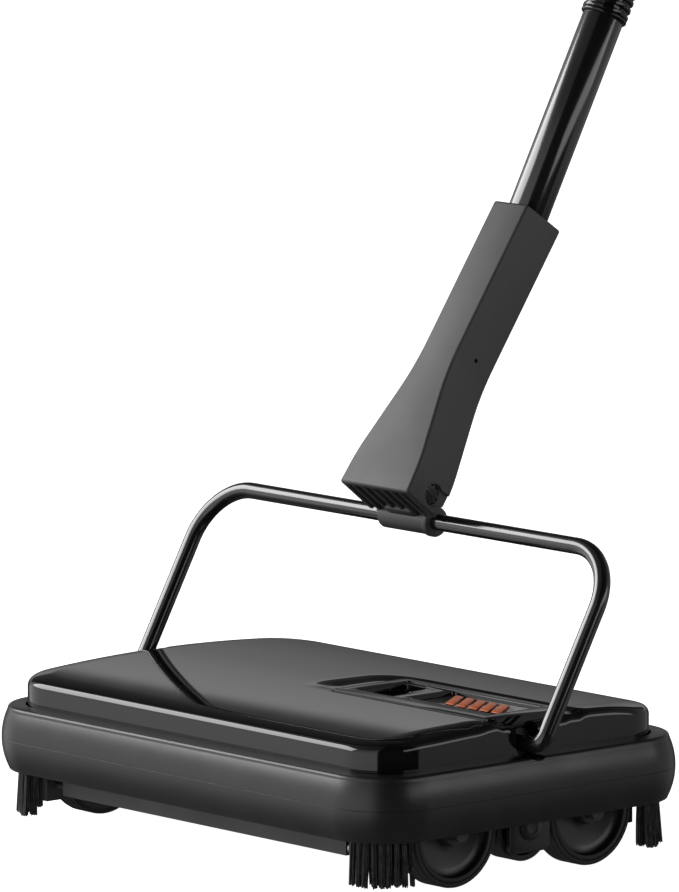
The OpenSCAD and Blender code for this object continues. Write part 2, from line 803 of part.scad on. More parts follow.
// End cap with a hole to hang the sweeper up by
module hang_cap() {
    r = grip_d / 2;
    color(satin_black) at_tube() translate([0, 0, upper_z0 + tube_len]) difference() {
        rotate_extrude($fn = round_fn) union() {
            translate([0, -insert_len]) square([tube_d / 2 - tube_wall, insert_len]);
            square([r, cap_len - cap_edge]);
            square([r - cap_edge, cap_len]);
            translate([r - cap_edge, cap_len - cap_edge]) circle(cap_edge);
        }
        rod_x(-grip_d, grip_d, 0, cap_len / 2, hang_r);
    }
}

chassis();
top_housing();
bumper();
bezel();
badge();
housing_screws();
release_paddle();
paddle_pin();
paddle_spring();
bearing_bracket_left();
bearing_bracket_right();
axle_front_left();
axle_front_right();
axle_rear_left();
axle_rear_right();
hub_front_left();
hub_front_right();
hub_rear_left();
hub_rear_right();
tyre_front_left();
tyre_front_right();
tyre_rear_left();
tyre_rear_right();
brush_spindle();
brush_core();
brush_bristles();
drive_drum_left();
drive_drum_right();
bristle_comb();
front_dust_pan();
rear_dust_pan();
front_pan_rod();
rear_pan_rod();
front_pan_spring();
rear_pan_spring();
tuft_front_left();
tuft_front_right();
tuft_rear_left();
tuft_rear_right();
holder_front_left();
holder_front_right();
holder_rear_left();
holder_rear_right();
bush_left();
bush_right();
bail();
bail_sleeve();
handle_socket();
detent_barrel();
socket_screw();
tube_lower();
coupling_lower();
tube_middle();
coupling_upper();
tube_upper();
grip();
hang_cap();
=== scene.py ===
"""Looks of the carpet sweeper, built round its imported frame.

Each build function draws one piece in millimetres, in the object's own axes, and scales it to metres.
"""

import json
import math
import random

import bpy
import bmesh
from mathutils import Matrix, Vector


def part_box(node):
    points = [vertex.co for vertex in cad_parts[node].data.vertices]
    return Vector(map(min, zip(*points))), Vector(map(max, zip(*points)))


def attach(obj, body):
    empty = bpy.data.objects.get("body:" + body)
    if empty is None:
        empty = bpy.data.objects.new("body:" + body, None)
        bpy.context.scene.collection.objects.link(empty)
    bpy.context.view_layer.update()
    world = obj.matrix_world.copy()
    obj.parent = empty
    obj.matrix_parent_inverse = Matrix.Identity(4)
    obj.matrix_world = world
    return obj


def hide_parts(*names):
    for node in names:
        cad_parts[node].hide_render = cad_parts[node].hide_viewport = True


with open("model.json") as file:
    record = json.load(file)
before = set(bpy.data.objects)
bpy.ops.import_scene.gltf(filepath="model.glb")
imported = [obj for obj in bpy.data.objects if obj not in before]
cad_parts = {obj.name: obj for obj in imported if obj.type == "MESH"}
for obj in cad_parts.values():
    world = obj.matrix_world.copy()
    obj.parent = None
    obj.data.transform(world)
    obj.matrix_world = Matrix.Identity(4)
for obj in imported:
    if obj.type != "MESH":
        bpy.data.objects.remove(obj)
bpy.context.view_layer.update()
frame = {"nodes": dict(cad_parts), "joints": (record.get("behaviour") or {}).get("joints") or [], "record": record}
MM = 0.001
CORNERS = {"front_left": (-1, -1), "front_right": (1, -1), "rear_left": (-1, 1), "rear_right": (1, 1)}
JOINTS = {j["name"]: j for j in frame["joints"]}
SEED = 7
FIT = 0.05


# ---- sizes, read from the frame ----

_, LID_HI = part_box("top_housing")
BUMP_LO, BUMP_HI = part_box("bumper")
PLATE_LO, PLATE_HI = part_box("bezel")
LID_R = 27 * MM
BUMP_R = 37 * MM
PIVOT = Vector(JOINTS["bail_tilt"]["pos_m"])
BAR = Vector(JOINTS["handle_tilt"]["pos_m"])
SOCKET_LEAN = math.radians(34.4)
TUBE_LEAN = math.radians(28.2)


# ---- mesh helpers ----


def link_object(name, mesh):
    obj = bpy.data.objects.new(name, mesh)
    bpy.context.scene.collection.objects.link(obj)
    return obj


def add_object(name, verts, faces):
    """An object from points and faces, with its normals turned outwards."""
    mesh = bpy.data.meshes.new(name)
    mesh.from_pydata([tuple(v) for v in verts], [], faces)
    mesh.validate()
    bm = bmesh.new()
    bm.from_mesh(mesh)
    bmesh.ops.recalc_face_normals(bm, faces=bm.faces)
    bm.to_mesh(mesh)
    bm.free()
    return link_object(name, mesh)


def smooth(obj, angle):
    """Shades smoothly, with sharp edges above the angle in degrees."""
    obj.data.shade_smooth()
    obj.data.set_sharp_from_angle(angle=math.radians(angle))
    return obj


def bake(obj):
    """Applies the object's modifiers to its mesh."""
    graph = bpy.context.evaluated_depsgraph_get()
    mesh = bpy.data.meshes.new_from_object(obj.evaluated_get(graph))
    obj.modifiers.clear()
    obj.data = mesh
    return obj


def cut(obj, *tools, operation="DIFFERENCE"):
    """Cuts the tools out of obj, or joins them to it, and removes them."""
    for tool in tools:
        mod = obj.modifiers.new("cut", "BOOLEAN")
        mod.operation = operation
        mod.solver = "MANIFOLD"
        mod.object = tool
        bake(obj)
        bpy.data.objects.remove(tool)
    return obj


def bevel(obj, width, segments=3, angle=30):
    """Rounds the edges that turn by more than the angle in degrees."""
    mod = obj.modifiers.new("bevel", "BEVEL")
    mod.width = width
    mod.segments = segments
    mod.limit_method = "ANGLE"
    mod.angle_limit = math.radians(angle)
    mod.use_clamp_overlap = True
    return bake(obj)


def join(name, objs):
    """Joins several objects' meshes into one new object."""
    bm = bmesh.new()
    for o in objs:
        o.data.transform(o.matrix_world)
        bm.from_mesh(o.data)
        bpy.data.objects.remove(o)
    mesh = bpy.data.meshes.new(name)
    bm.to_mesh(mesh)
    bm.free()
    return link_object(name, mesh)


def arc(cx, cy, r, a0, a1, n):
    """Points on an arc of radius r about (cx, cy), from a0 to a1 degrees."""
    turns = [math.radians(a0 + (a1 - a0) * i / n) for i in range(n + 1)]
    return [(cx + r * math.cos(a), cy + r * math.sin(a)) for a in turns]


def grid_faces(rows, cols, close_rows=False, close_cols=False):
    """Quads of a grid of rows x cols points, stored row by row."""
    faces = []
    for i in range(rows if close_rows else rows - 1):
        for j in range(cols if close_cols else cols - 1):
            a, b = i * cols + j, i * cols + (j + 1) % cols
            c, d = ((i + 1) % rows) * cols + (j + 1) % cols, ((i + 1) % rows) * cols + j
            faces.append((a, b, c, d))
    return faces


def box_mesh(name, lo, hi):
    x0, y0, z0 = lo
    x1, y1, z1 = hi
    verts = [(x, y, z) for x in (x0, x1) for y in (y0, y1) for z in (z0, z1)]
    faces = [(0, 1, 3, 2), (4, 6, 7, 5), (0, 4, 5, 1), (2, 3, 7, 6), (0, 2, 6, 4), (1, 5, 7, 3)]
    return add_object(name, verts, faces)


def prism(name, outline, depth, place=Matrix()):
    """A closed outline in x and y, extruded by depth along z, then placed."""
    n = len(outline)
    verts = [place @ Vector((x, y, z)) for z in (0, depth) for x, y in outline]
    faces = [tuple(range(n)), tuple(range(2 * n - 1, n - 1, -1))]
    faces += [(i, (i + 1) % n, n + (i + 1) % n, n + i) for i in range(n)]
    return add_object(name, verts, faces)


def lathe(name, profile, place=Matrix(), turns=96, closed=False):
    """A profile of (radius, height) points turned about z, then placed."""
    verts = []
    for r, z in profile:
        for k in range(turns):
            a = 2 * math.pi * k / turns
            verts.append(place @ Vector((r * math.cos(a), r * math.sin(a), z)))
    faces = grid_faces(len(profile), turns, close_rows=closed, close_cols=True)
    if not closed:
        last = (len(profile) - 1) * turns
        faces += [tuple(range(turns)), tuple(last + k for k in range(turns))[::-1]]
    return add_object(name, verts, faces)


def along_x(x, y, z):
    """Places a lathe's axis along +X, starting at the point."""
    return Matrix.Translation((x, y, z)) @ Matrix.Rotation(math.pi / 2, 4, "Y")


def rod_x(name, x0, x1, y, z, r, turns=64):
    return lathe(name, [(r, 0), (r, x1 - x0)], along_x(x0, y, z), turns)


def rounded_loop(hx, hy, r, n, long_n=1, short_n=1):
    """Corner-arc centres and outward directions round a rounded rectangle, from the +X +Y corner."""
    cx, cy = hx - r, hy - r
    out = []
    sides = [((cx, cy), 0, long_n), ((-cx, cy), 90, short_n)]
    sides += [((-cx, -cy), 180, long_n), ((cx, -cy), 270, short_n)]
    for k, (centre, start, count) in enumerate(sides):
        for i in range(n + 1):
            a = math.radians(start + 90 * i / n)
            out.append((centre, (math.cos(a), math.sin(a))))
        after = sides[(k + 1) % 4][0]
        a = math.radians(start + 90)
        for i in range(1, count):
            t = i / count
            mid = (centre[0] + (after[0] - centre[0]) * t, centre[1] + (after[1] - centre[1]) * t)
            out.append((mid, (math.cos(a), math.sin(a))))
    return out


def sweep_loop(name, loop, profile, closed):
    """Sweeps a profile of (outward distance, z) points round a loop. An open profile is capped at both ends."""
    verts = [(c[0] + d[0] * p, c[1] + d[1] * p, z) for p, z in profile for c, d in loop]
    cols = len(loop)
    faces = grid_faces(len(profile), cols, close_rows=closed, close_cols=True)
    if not closed:
        last = (len(profile) - 1) * cols
        faces += [tuple(range(cols)), tuple(last + k for k in range(cols))[::-1]]
    return add_object(name, verts, faces)


def tube_along(name, path, r, turns=32):
    """A round rod along a list of points, with flat ends."""
    verts = []
    up = Vector((0, 1, 0)) if abs((path[1] - path[0]).normalized().y) < 0.9 else Vector((1, 0, 0))
    side = None
    for i, p in enumerate(path):
        before, after = path[max(i - 1, 0)], path[min(i + 1, len(path) - 1)]
        along = (after - before).normalized()
        side = (up.cross(along) if side is None else side - along * side.dot(along)).normalized()
        other = along.cross(side)
        for k in range(turns):
            a = 2 * math.pi * k / turns
            verts.append(p + side * (r * math.cos(a)) + other * (r * math.sin(a)))
    faces = grid_faces(len(path), turns, close_cols=True)
    last = (len(path) - 1) * turns
    faces += [tuple(range(turns)), tuple(last + k for k in range(turns))[::-1]]
    return add_object(name, verts, faces)


def finish_piece(obj, body, material, *nodes, slot=None):
    """Gives a piece its material and body, and hides the CAD nodes that it stands for. The slot is not used."""
    obj.data.materials.clear()
    obj.data.materials.append(material)
    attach(obj, body)
    if nodes:
        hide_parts(*nodes)
    return obj


# ---- materials ----


def new_material(name, colour, roughness, **sockets):
    """A Principled material with plain values on its sockets."""
    mat = bpy.data.materials.new(name)
    mat.use_nodes = True
    shader = mat.node_tree.nodes["Principled BSDF"]
    shader.inputs["Base Color"].default_value = (*colour, 1)
    shader.inputs["Roughness"].default_value = roughness
    for key, value in sockets.items():
        shader.inputs[key.replace("_", " ")].default_value = value
    return mat


def add_noise(mat, scale, detail=3.0):
    tree = mat.node_tree
    coords = tree.nodes.new("ShaderNodeTexCoord")
    noise = tree.nodes.new("ShaderNodeTexNoise")
    noise.inputs["Scale"].default_value = scale
    noise.inputs["Detail"].default_value = detail
    tree.links.new(coords.outputs["Object"], noise.inputs["Vector"])
    return noise


def vary(mat, socket, noise, low, high):
    """Lets a noise move a socket between two values or colours."""
    tree = mat.node_tree
    ramp = tree.nodes.new("ShaderNodeValToRGB")
    ramp.color_ramp.elements[0].position = 0.3
    ramp.color_ramp.elements[1].position = 0.7
    low, high = [(v, v, v) if isinstance(v, float) else v for v in (low, high)]
    ramp.color_ramp.elements[0].color = (*low, 1)
    ramp.color_ramp.elements[1].color = (*high, 1)
    tree.links.new(noise.outputs["Fac"], ramp.inputs["Fac"])
    shader = tree.nodes["Principled BSDF"]
    tree.links.new(ramp.outputs["Color"], shader.inputs[socket])


def add_bump(mat, noise, distance, strength=1.0):
    tree = mat.node_tree
    bump = tree.nodes.new("ShaderNodeBump")
    bump.inputs["Distance"].default_value = distance
    bump.inputs["Strength"].default_value = strength
    tree.links.new(noise.outputs["Fac"], bump.inputs["Height"])
    shader = tree.nodes["Principled BSDF"]
    tree.links.new(bump.outputs["Normal"], shader.inputs["Normal"])


def plastic(name, colour, roughness, spread, grain_scale, grain_depth):
    """Moulded plastic: a little variation in colour and shine, and a fine grain."""
    mat = new_material(name, colour, roughness)
    cloud = add_noise(mat, 35, 4)
    vary(mat, "Roughness", cloud, roughness - spread, roughness + spread)
    vary(mat, "Base Color", cloud, tuple(c * 0.85 for c in colour), tuple(c * 1.15 for c in colour))
    add_bump(mat, add_noise(mat, grain_scale, 2), grain_depth)
    return mat


def lacquer_material():
    """Painted tube and rod: deep black under a clear coat."""
    mat = plastic("rod_lacquer", (0.006, 0.006, 0.0065), 0.16, 0.03, 140, 0.00001)
    shader = mat.node_tree.nodes["Principled BSDF"]
    shader.inputs["Coat Weight"].default_value = 0.6
    shader.inputs["Coat Roughness"].default_value = 0.14
    return mat


def steel_material():
    mat = new_material("steel", (0.55, 0.55, 0.57), 0.3, Metallic=1.0)
    noise = add_noise(mat, 90, 6)
    vary(mat, "Roughness", noise, 0.22, 0.42)
    add_bump(mat, add_noise(mat, 900, 2), 0.00001)
    return mat


def badge_material():
    mat = new_material("badge_orange", (0.62, 0.13, 0.03), 0.35)
    noise = add_noise(mat, 220, 3)
    vary(mat, "Base Color", noise, (0.52, 0.1, 0.025), (0.7, 0.17, 0.045))
    return mat


def bristle_material():
    mat = new_material("bristle", (0.012, 0.012, 0.012), 0.5)
    noise = add_noise(mat, 400, 2)
    vary(mat, "Base Color", noise, (0.006, 0.006, 0.006), (0.022, 0.022, 0.022))
    vary(mat, "Roughness", noise, 0.4, 0.62)
    return mat


GLOSS = plastic("gloss_black", (0.0035, 0.0035, 0.004), 0.05, 0.01, 60, 0.000004)
LACQUER = lacquer_material()
STEEL = steel_material()
ORANGE = badge_material()
BRISTLE = bristle_material()
SATIN = plastic("satin_black", (0.007, 0.007, 0.0074), 0.33, 0.04, 1400, 0.00003)
INNER = plastic("inner_black", (0.012, 0.012, 0.012), 0.5, 0.06, 900, 0.00004)
SOCKET_MAT = plastic("socket_grey", (0.025, 0.025, 0.0265), 0.5, 0.04, 2600, 0.00007)
RUBBER = plastic("tyre_rubber", (0.006, 0.006, 0.006), 0.62, 0.06, 700, 0.00006)
FOAM = plastic("grip_foam", (0.014, 0.014, 0.014), 0.85, 0.05, 1200, 0.0002)
SLOT_MATERIALS = {
    "gloss_black": GLOSS, "satin_black": SATIN, "socket_grey": SOCKET_MAT, "inner_black": INNER,
    "tyre_rubber": RUBBER, "drum_rubber": RUBBER, "grip_foam": FOAM, "bristle": BRISTLE,
    "rod_paint": LACQUER, "badge_orange": ORANGE, "steel": STEEL,
}


def paint_cad_nodes():
    for part in frame["record"]["subparts"]:
        obj = frame["nodes"][part["node"]]
        obj.data.materials.clear()
        obj.data.materials.append(SLOT_MATERIALS[part["material_slot"]])


# ---- shells ----

LID_EDGE_R = 5.0
LID_WALL = 2.6
LID_Z0 = 63.0
LID_RINGS = 150
EDGE_STEPS = 9
NOTCH_R = 8.0
NOTCH_X0 = 143.5
BUSH_R = 7.0
PLATE_R = 5.0
PLATE_LAP = 3


def scaled(obj):
    """Turns a mesh drawn in millimetres into metres."""
    obj.data.transform(Matrix.Scale(MM, 4))
    return obj


LID_HX, LID_HY = LID_HI.x / MM, LID_HI.y / MM
LID_TOP = 84.9
CROWN_DROP = 5.1
CROWN_R = (LID_HY**2 + CROWN_DROP**2) / (2 * CROWN_DROP)
SHOULDER_W, SHOULDER_DROP = 14.0, 1.7
SIDE_W, SIDE_DROP = 17.0, 1.6
# Share of the right-hand shoulder's drop at each y, from the front of the body to its back
SIDE_DIPS = (
    (-103, 0.2), (-80, 0.5), (-58, 1.1), (-34, 1.1), (-24, 0.0), (10, 0.0), (30, -0.8), (58, -0.9), (92, 0.7),
)
GUTTER_W, GUTTER_DEPTH = 1.3, 1.5
MOAT_DEPTH = 1.9
MOAT_LEFT, MOAT_BACK, MOAT_FRONT = -6.0, 43.0, -24.0
MOAT_REACH, MOAT_R, MOAT_FADE = 120.0, 22, 22
# The moat's wall is gentle at its left end and steep where it runs behind the plate
MOAT_STEEP, MOAT_GENTLE, MOAT_TURN = 6.0, 12.0, 36
LOOP_STEPS = (14, 72, 44)
PLATE_C = ((PLATE_LO.x + PLATE_HI.x) / 2 / MM, (PLATE_LO.y + PLATE_HI.y) / 2 / MM)
PLATE_H = ((PLATE_HI.x - PLATE_LO.x) / 2 / MM, (PLATE_HI.y - PLATE_LO.y) / 2 / MM)
PLATE_Z = PLATE_HI.z / MM


def smoothstep(t):
    t = min(max(t, 0.0), 1.0)
    return t * t * (3 - 2 * t)


def rect_distance(x, y, cx, cy, hx, hy, r):
    """Signed distance from a rounded rectangle, negative inside."""
    qx, qy = abs(x - cx) - hx + r, abs(y - cy) - hy + r
    return math.hypot(max(qx, 0), max(qy, 0)) + min(max(qx, qy), 0) - r


def side_dip(y):
    """Share of the side drop at y, eased from one given place to the next."""
    for (y0, a), (y1, b) in zip(SIDE_DIPS, SIDE_DIPS[1:]):
        if y <= y1:
            return a + (b - a) * smoothstep((y - y0) / (y1 - y0))
    return SIDE_DIPS[-1][1]


def moat(x, y):
    """Depth of the hollow that runs along the left and the back of the plate and out to the side."""
    cx, cy = MOAT_LEFT + MOAT_REACH, MOAT_BACK - MOAT_REACH
    inside = -rect_distance(x, y, cx, cy, MOAT_REACH, MOAT_REACH, MOAT_R)
    slope = MOAT_STEEP + MOAT_GENTLE * (1 - smoothstep((x - MOAT_LEFT) / MOAT_TURN))
    return MOAT_DEPTH * smoothstep(inside / slope) * smoothstep((y - MOAT_FRONT) / MOAT_FADE)


def lid_height(x, y):
    """Height of the lid's top: crowned front to back, falling at its shoulders, hollow round the plate."""
    crown = LID_TOP - CROWN_R + math.sqrt(CROWN_R**2 - y * y)
    into = -rect_distance(x, y, 0, 0, LID_HX, LID_HY, LID_R / MM)
    shoulder = SHOULDER_DROP * (max(SHOULDER_W - into, 0) / SHOULDER_W) ** 2
    side = SIDE_DROP * side_dip(y) * (max(x - LID_HX + SIDE_W, 0) / SIDE_W) ** 2
    off_plate = rect_distance(x, y, *PLATE_C, *PLATE_H, PLATE_R)
    gutter = GUTTER_DEPTH * (1 - smoothstep(off_plate / GUTTER_W))
    return crown - shoulder - side - moat(x, y) - gutter


def rounded_outline(cx, cy, hx, hy, r, *steps):
    """Points round a rounded rectangle."""
    return [(cx + px + dx * r, cy + py + dy * r) for (px, py), (dx, dy) in rounded_loop(hx, hy, r, *steps)]


def build_lid():
    """Shell from its side wall, over a rounded edge and across the top to the hole under the plate."""
    corner_r = LID_R / MM
    loop = rounded_loop(LID_HX, LID_HY, corner_r, *LOOP_STEPS)

    def at_inset(k, inset):
        """A point of the lid's top, inset from its outline."""
        (cx, cy), (dx, dy) = loop[k]
        x, y = cx + dx * (corner_r - inset), cy + dy * (corner_r - inset)
        return x, y, lid_height(x, y)

    count = len(loop)
    lean = [math.atan((at_inset(k, 6)[2] - at_inset(k, 3)[2]) / 3) for k in range(count)]
    lean = [min(max(a, 0.0), 0.5) for a in lean]
    outer = [at_inset(k, LID_EDGE_R * (1 - math.sin(lean[k]))) for k in range(count)]
    arc_z = [outer[k][2] - LID_EDGE_R * math.cos(lean[k]) for k in range(count)]
    verts = []
    for share in (0.0, 0.08, 0.5):
        verts += [(*at_inset(k, 0)[:2], LID_Z0 + (arc_z[k] - LID_Z0) * share) for k in range(count)]
    for j in range(EDGE_STEPS + 1):
        for k in range(count):
            a = (math.pi / 2 - lean[k]) * j / EDGE_STEPS
            x, y, _ = at_inset(k, LID_EDGE_R * (1 - math.cos(a)))
            verts.append((x, y, arc_z[k] + LID_EDGE_R * math.sin(a)))
    side_rows = len(verts) // count
    inner = rounded_outline(*PLATE_C, PLATE_H[0] - PLATE_LAP, PLATE_H[1] - PLATE_LAP, 2, *LOOP_STEPS)
    for i in range(1, LID_RINGS + 1):
        u = i / LID_RINGS
        t = 0.3 * u + 0.35 * (1 - math.cos(math.pi * u))
        for (x0, y0, _), (x1, y1) in zip(outer, inner):
            x, y = x0 + (x1 - x0) * t, y0 + (y1 - y0) * t
            verts.append((x, y, lid_height(x, y)))
    lid = add_object("lid", verts, grid_faces(len(verts) // count, count, close_cols=True))
    if lid.data.polygons[count * (side_rows + 20)].normal.z < 0:
        lid.data.flip_normals()
    mod = lid.modifiers.new("shell", "SOLIDIFY")
    mod.thickness = LID_WALL
    mod.offset = -1
    bake(lid)
    for s in (-1, 1):
        shelf = lid_height(s * (LID_HX - 5), 0)
        wall_x = NOTCH_X0 - LID_WALL
        outline = [(wall_x, LID_Z0 + 0.3), (LID_HX - 0.5, LID_Z0 + 0.3), (LID_HX - 0.5, shelf - 6)]
        outline += [(LID_HX - 2.5, shelf - 2.2), (LID_HX - 5, shelf - 0.6), (wall_x, shelf - 0.6)]
        place = Matrix(((s, 0, 0, 0), (0, 0, 1, -NOTCH_R - LID_WALL), (0, 1, 0, 0), (0, 0, 0, 1)))
        cut(lid, prism("wall", outline, 2 * (NOTCH_R + LID_WALL), place), operation="UNION")
        cut(lid, notch_tool(NOTCH_X0, s), rod_tool(s, wall_x - 3, NOTCH_X0 + 1, BUSH_R))
    return smooth(scaled(lid), 35)


def notch_tool(x0, s):
    """The U of the notch, standing across the side wall."""
    outline = arc(0, PIVOT.z / MM, NOTCH_R, 180, 360, 32) + [(NOTCH_R, 100), (-NOTCH_R, 100)]
    place = Matrix(((0, 0, s, s * x0), (1, 0, 0, 0), (0, 1, 0, 0), (0, 0, 0, 1)))
    return prism("notch", outline, 40, place)


def rod_tool(s, x0, x1, r):
    """A rod along the bail's axis, on the side s of the body."""
    a, b = sorted((s * x0, s * x1))
    return rod_x("rod", a, b, 0, PIVOT.z / MM, r)


BUMP_Z0, BUMP_Z1 = BUMP_LO.z / MM, BUMP_HI.z / MM
BULGE_R = 37.0
BUMP_T = 3.6
BUMP_OUT = 13.0
GROOVE = 0.14


def build_bumper():
    """Bulged band with a fine parting line round its middle and a notch over each pivot."""
    r = BUMP_R / MM
    mid = (BUMP_Z0 + BUMP_Z1) / 2
    inner = r - BUMP_OUT
    bulge = r - BULGE_R

    def on_arc(z, radius):
        return bulge + math.sqrt(radius**2 - (z - mid) ** 2)

    top_r, low_r = 2.2, 1.0
    steps = 23
    low_p = on_arc(BUMP_Z0 + low_r, BULGE_R)
    outer = arc(low_p - low_r, BUMP_Z0 + low_r, low_r, -90, 0, 5)
    for i in range(1, steps + 1):
        z = BUMP_Z0 + low_r + (mid - GROOVE - BUMP_Z0 - low_r) * i / steps
        outer.append((on_arc(z, BULGE_R), z))
    outer += [(on_arc(mid, BULGE_R) - GROOVE, mid)]
    for i in range(steps + 1):
        z = mid + GROOVE + (BUMP_Z1 - top_r - mid - GROOVE) * i / steps
        outer.append((on_arc(z, BULGE_R), z))
    top_p = on_arc(BUMP_Z1 - top_r, BULGE_R)
    outer += arc(top_p - top_r, BUMP_Z1 - top_r, top_r, 12, 90, 7)
    inside = [(inner, BUMP_Z1), (inner, BUMP_Z1 - BUMP_T)]
    for i in range(13):
        z = BUMP_Z1 - BUMP_T - (BUMP_Z1 - BUMP_T - BUMP_Z0) * i / 12
        inside.append((on_arc(z, BULGE_R - BUMP_T), z))
    loop = rounded_loop(BUMP_HI.x / MM, BUMP_HI.y / MM, r, 28, 3, 3)
    bumper = sweep_loop("bumper_band", loop, outer + inside, closed=True)
    for s in (-1, 1):
        cut(bumper, notch_tool(LID_HX - 2, s))
    return smooth(scaled(bumper), 24)


# ---- control plate ----

WINDOW_C = (39.0, 6.0)
WINDOW_H = (7.5, 17.0)
RAMP_W, RAMP_DROP = 19.0, 2.0
LABEL_C = (99.5, 10.0)
LABEL_H = (33.5, 16.0)
RIM_C = (81.5, 8.0)
RIM_H = (53.0, 19.8)
RIM_DEPTH = 0.7
LABEL_DEPTH = 2.4
RECESS_Z = 71.0
CORNER_STEPS = 10
PADDLE_W = 7.0
PADDLE_PIN = (WINDOW_C[1] + 12, 74)
PADDLE_PIN_R = 1.5
BAR_W, BAR_SLANT, BAR_D, BAR_PITCH, BAR_H = 6.4, -14.0, 20.0, 9.0, 0.8


def raised(name, outline, z0, z1):
    return prism(name, outline, z1 - z0, Matrix.Translation((0, 0, z0)))


def block(name, centre, half, r, z0, z1, steps=CORNER_STEPS):
    """A rounded rectangle, standing from z0 to z1."""
    return raised(name, rounded_outline(*centre, *half, r, steps), z0, z1)


def build_plate():
    """Control plate with a sunk field, a finger window with a scoop beside it, and a deeper badge field."""
    over = PLATE_Z + 2
    plate = block("plate", PLATE_C, PLATE_H, PLATE_R, LID_TOP - LID_WALL - 3, PLATE_Z)
    sides = (WINDOW_H[0] + 2, WINDOW_H[1] + 2)
    cut(plate, block("well", WINDOW_C, sides, 2, RECESS_Z - 2, PLATE_Z - 2), operation="UNION")
    window = block("window", WINDOW_C, WINDOW_H, 1.2, RECESS_Z - 4, over, 5)
    edge_x, back_y = WINDOW_C[0] + WINDOW_H[0], WINDOW_C[1] + WINDOW_H[1]
    steps = 12
    slope = []
    for i in range(steps + 1):
        t = i / steps
        slope.append((-1 + (RAMP_W + 1) * t, PLATE_Z - RAMP_DROP * (1 - t) ** 1.4))
    outline = slope + [(RAMP_W, over), (-1, over)]
    place = Matrix(((1, 0, 0, edge_x), (0, 0, -1, back_y - 1), (0, 1, 0, 0), (0, 0, 0, 1)))
    ramp = prism("ramp", outline, 2 * WINDOW_H[1] - 2, place)
    label = block("label", LABEL_C, LABEL_H, 2.5, PLATE_Z - LABEL_DEPTH, over)
    rim = block("rim", RIM_C, RIM_H, 2.5, PLATE_Z - RIM_DEPTH, over)
    cut(plate, rim, window, ramp, label)
    pin_x = WINDOW_H[0] + 2.5
    cut(plate, rod_x("pin", WINDOW_C[0] - pin_x, WINDOW_C[0] + pin_x, *PADDLE_PIN, PADDLE_PIN_R))
    bevel(plate, 0.4, 2, 32)
    return smooth(scaled(plate), 40)


def build_badge():
    """Five raised slanted bars, with soft edges."""
    bars = []
    floor_z = PLATE_Z - LABEL_DEPTH
    for i in range(-2, 3):
        cx, cy = LABEL_C[0] + i * BAR_PITCH, LABEL_C[1] + 2
        x0, x1 = cx - BAR_SLANT / 2, cx + BAR_SLANT / 2
        y0, y1 = cy - BAR_D / 2, cy + BAR_D / 2
        half_w = BAR_W / 2
        outline = [(x0 - half_w, y0), (x0 + half_w, y0), (x1 + half_w, y1), (x1 - half_w, y1)]
        bars.append(bevel(raised("bar", outline, floor_z, floor_z + BAR_H), 0.3, 2, 20))
    return smooth(scaled(join("badge_bars", bars)), 40)


def build_paddle():
    """Finger paddle: a plate with ribs on top, on a round knuckle."""
    left = WINDOW_C[0] - WINDOW_H[0]
    x0, x1 = left + 0.5, left + 0.5 + PADDLE_W
    y0, y1 = WINDOW_C[1] - WINDOW_H[1] + 0.6, WINDOW_C[1] + WINDOW_H[1] - 0.6
    pad = bevel(box_mesh("paddle", (x0, y0, 76), (x1, y1, 79.1)), 0.8, 3)
    pad = cut(pad, rod_x("knuckle", x0, x1, *PADDLE_PIN, 3.2), operation="UNION")
    for i in range(7):
        y = y0 + 4 + i * 4
        rib = bevel(box_mesh("rib", (x0 + 1.2, y, 78.6), (x1 - 1.2, y + 1.4, 79.5)), 0.3, 2)
        cut(pad, rib, operation="UNION")
    cut(pad, rod_x("pin", x0 - 1, x1 + 1, *PADDLE_PIN, PADDLE_PIN_R + FIT))
    return smooth(scaled(pad), 40)


# ---- bail and handle ----

ROD_R = 4.5
BAIL_HX = 162.5
BAIL_H = 110.6
BEND_R = 32.0
PIN_BEND = 7.0
PIN_X0 = 138.9
BAIL_LEAN = math.radians(29.5)
SLEEVE_R = 7.4


def build_bail():
    """One bent rod: a pin at each end, two legs and the bar across."""
    half = [(PIN_X0, 0), (BAIL_HX - PIN_BEND - 4, 0)]
    half += arc(BAIL_HX - PIN_BEND, PIN_BEND, PIN_BEND, -90, 0, 16)
    half += [(BAIL_HX, z) for z in (30, 50, 65)]
    half += arc(BAIL_HX - BEND_R, BAIL_H - BEND_R, BEND_R, 0, 90, 32)
    half += [(90, BAIL_H), (40, BAIL_H), (0, BAIL_H)]
    line = half + [(-x, z) for x, z in half[-2::-1]]
    tilt = Matrix.Translation(PIVOT / MM) @ Matrix.Rotation(-BAIL_LEAN, 4, "X")
    path = [tilt @ Vector((x, 0, z)) for x, z in line]
    return smooth(scaled(tube_along("bail_rod", path, ROD_R, 48)), 50)


def at_socket():
    """The socket's own axes: the bail's bar is its origin and it stands along z."""
    return Matrix.Translation(BAR / MM) @ Matrix.Rotation(-SOCKET_LEAN, 4, "X")


def at_tube():
    """The tubes' own axes, with their origin at the socket's top."""
    top = Matrix.Translation((0, TUBE_OFFSET, SOCKET["len"]))
    return at_socket() @ top @ Matrix.Rotation(SOCKET_LEAN - TUBE_LEAN, 4, "X")


def placed(obj, place):
    obj.data.transform(place)
    return obj


def chamfered(r0, r1, z0, z1, c=0.6):
    """Closed section of a sleeve from r0 to r1, with its outer corners softened."""
    return [(r0, z0), (r1 - c, z0), (r1 - c * 0.3, z0 + c * 0.3), (r1, z0 + c),
            (r1, z1 - c), (r1 - c * 0.3, z1 - c * 0.3), (r1 - c, z1), (r0, z1)]


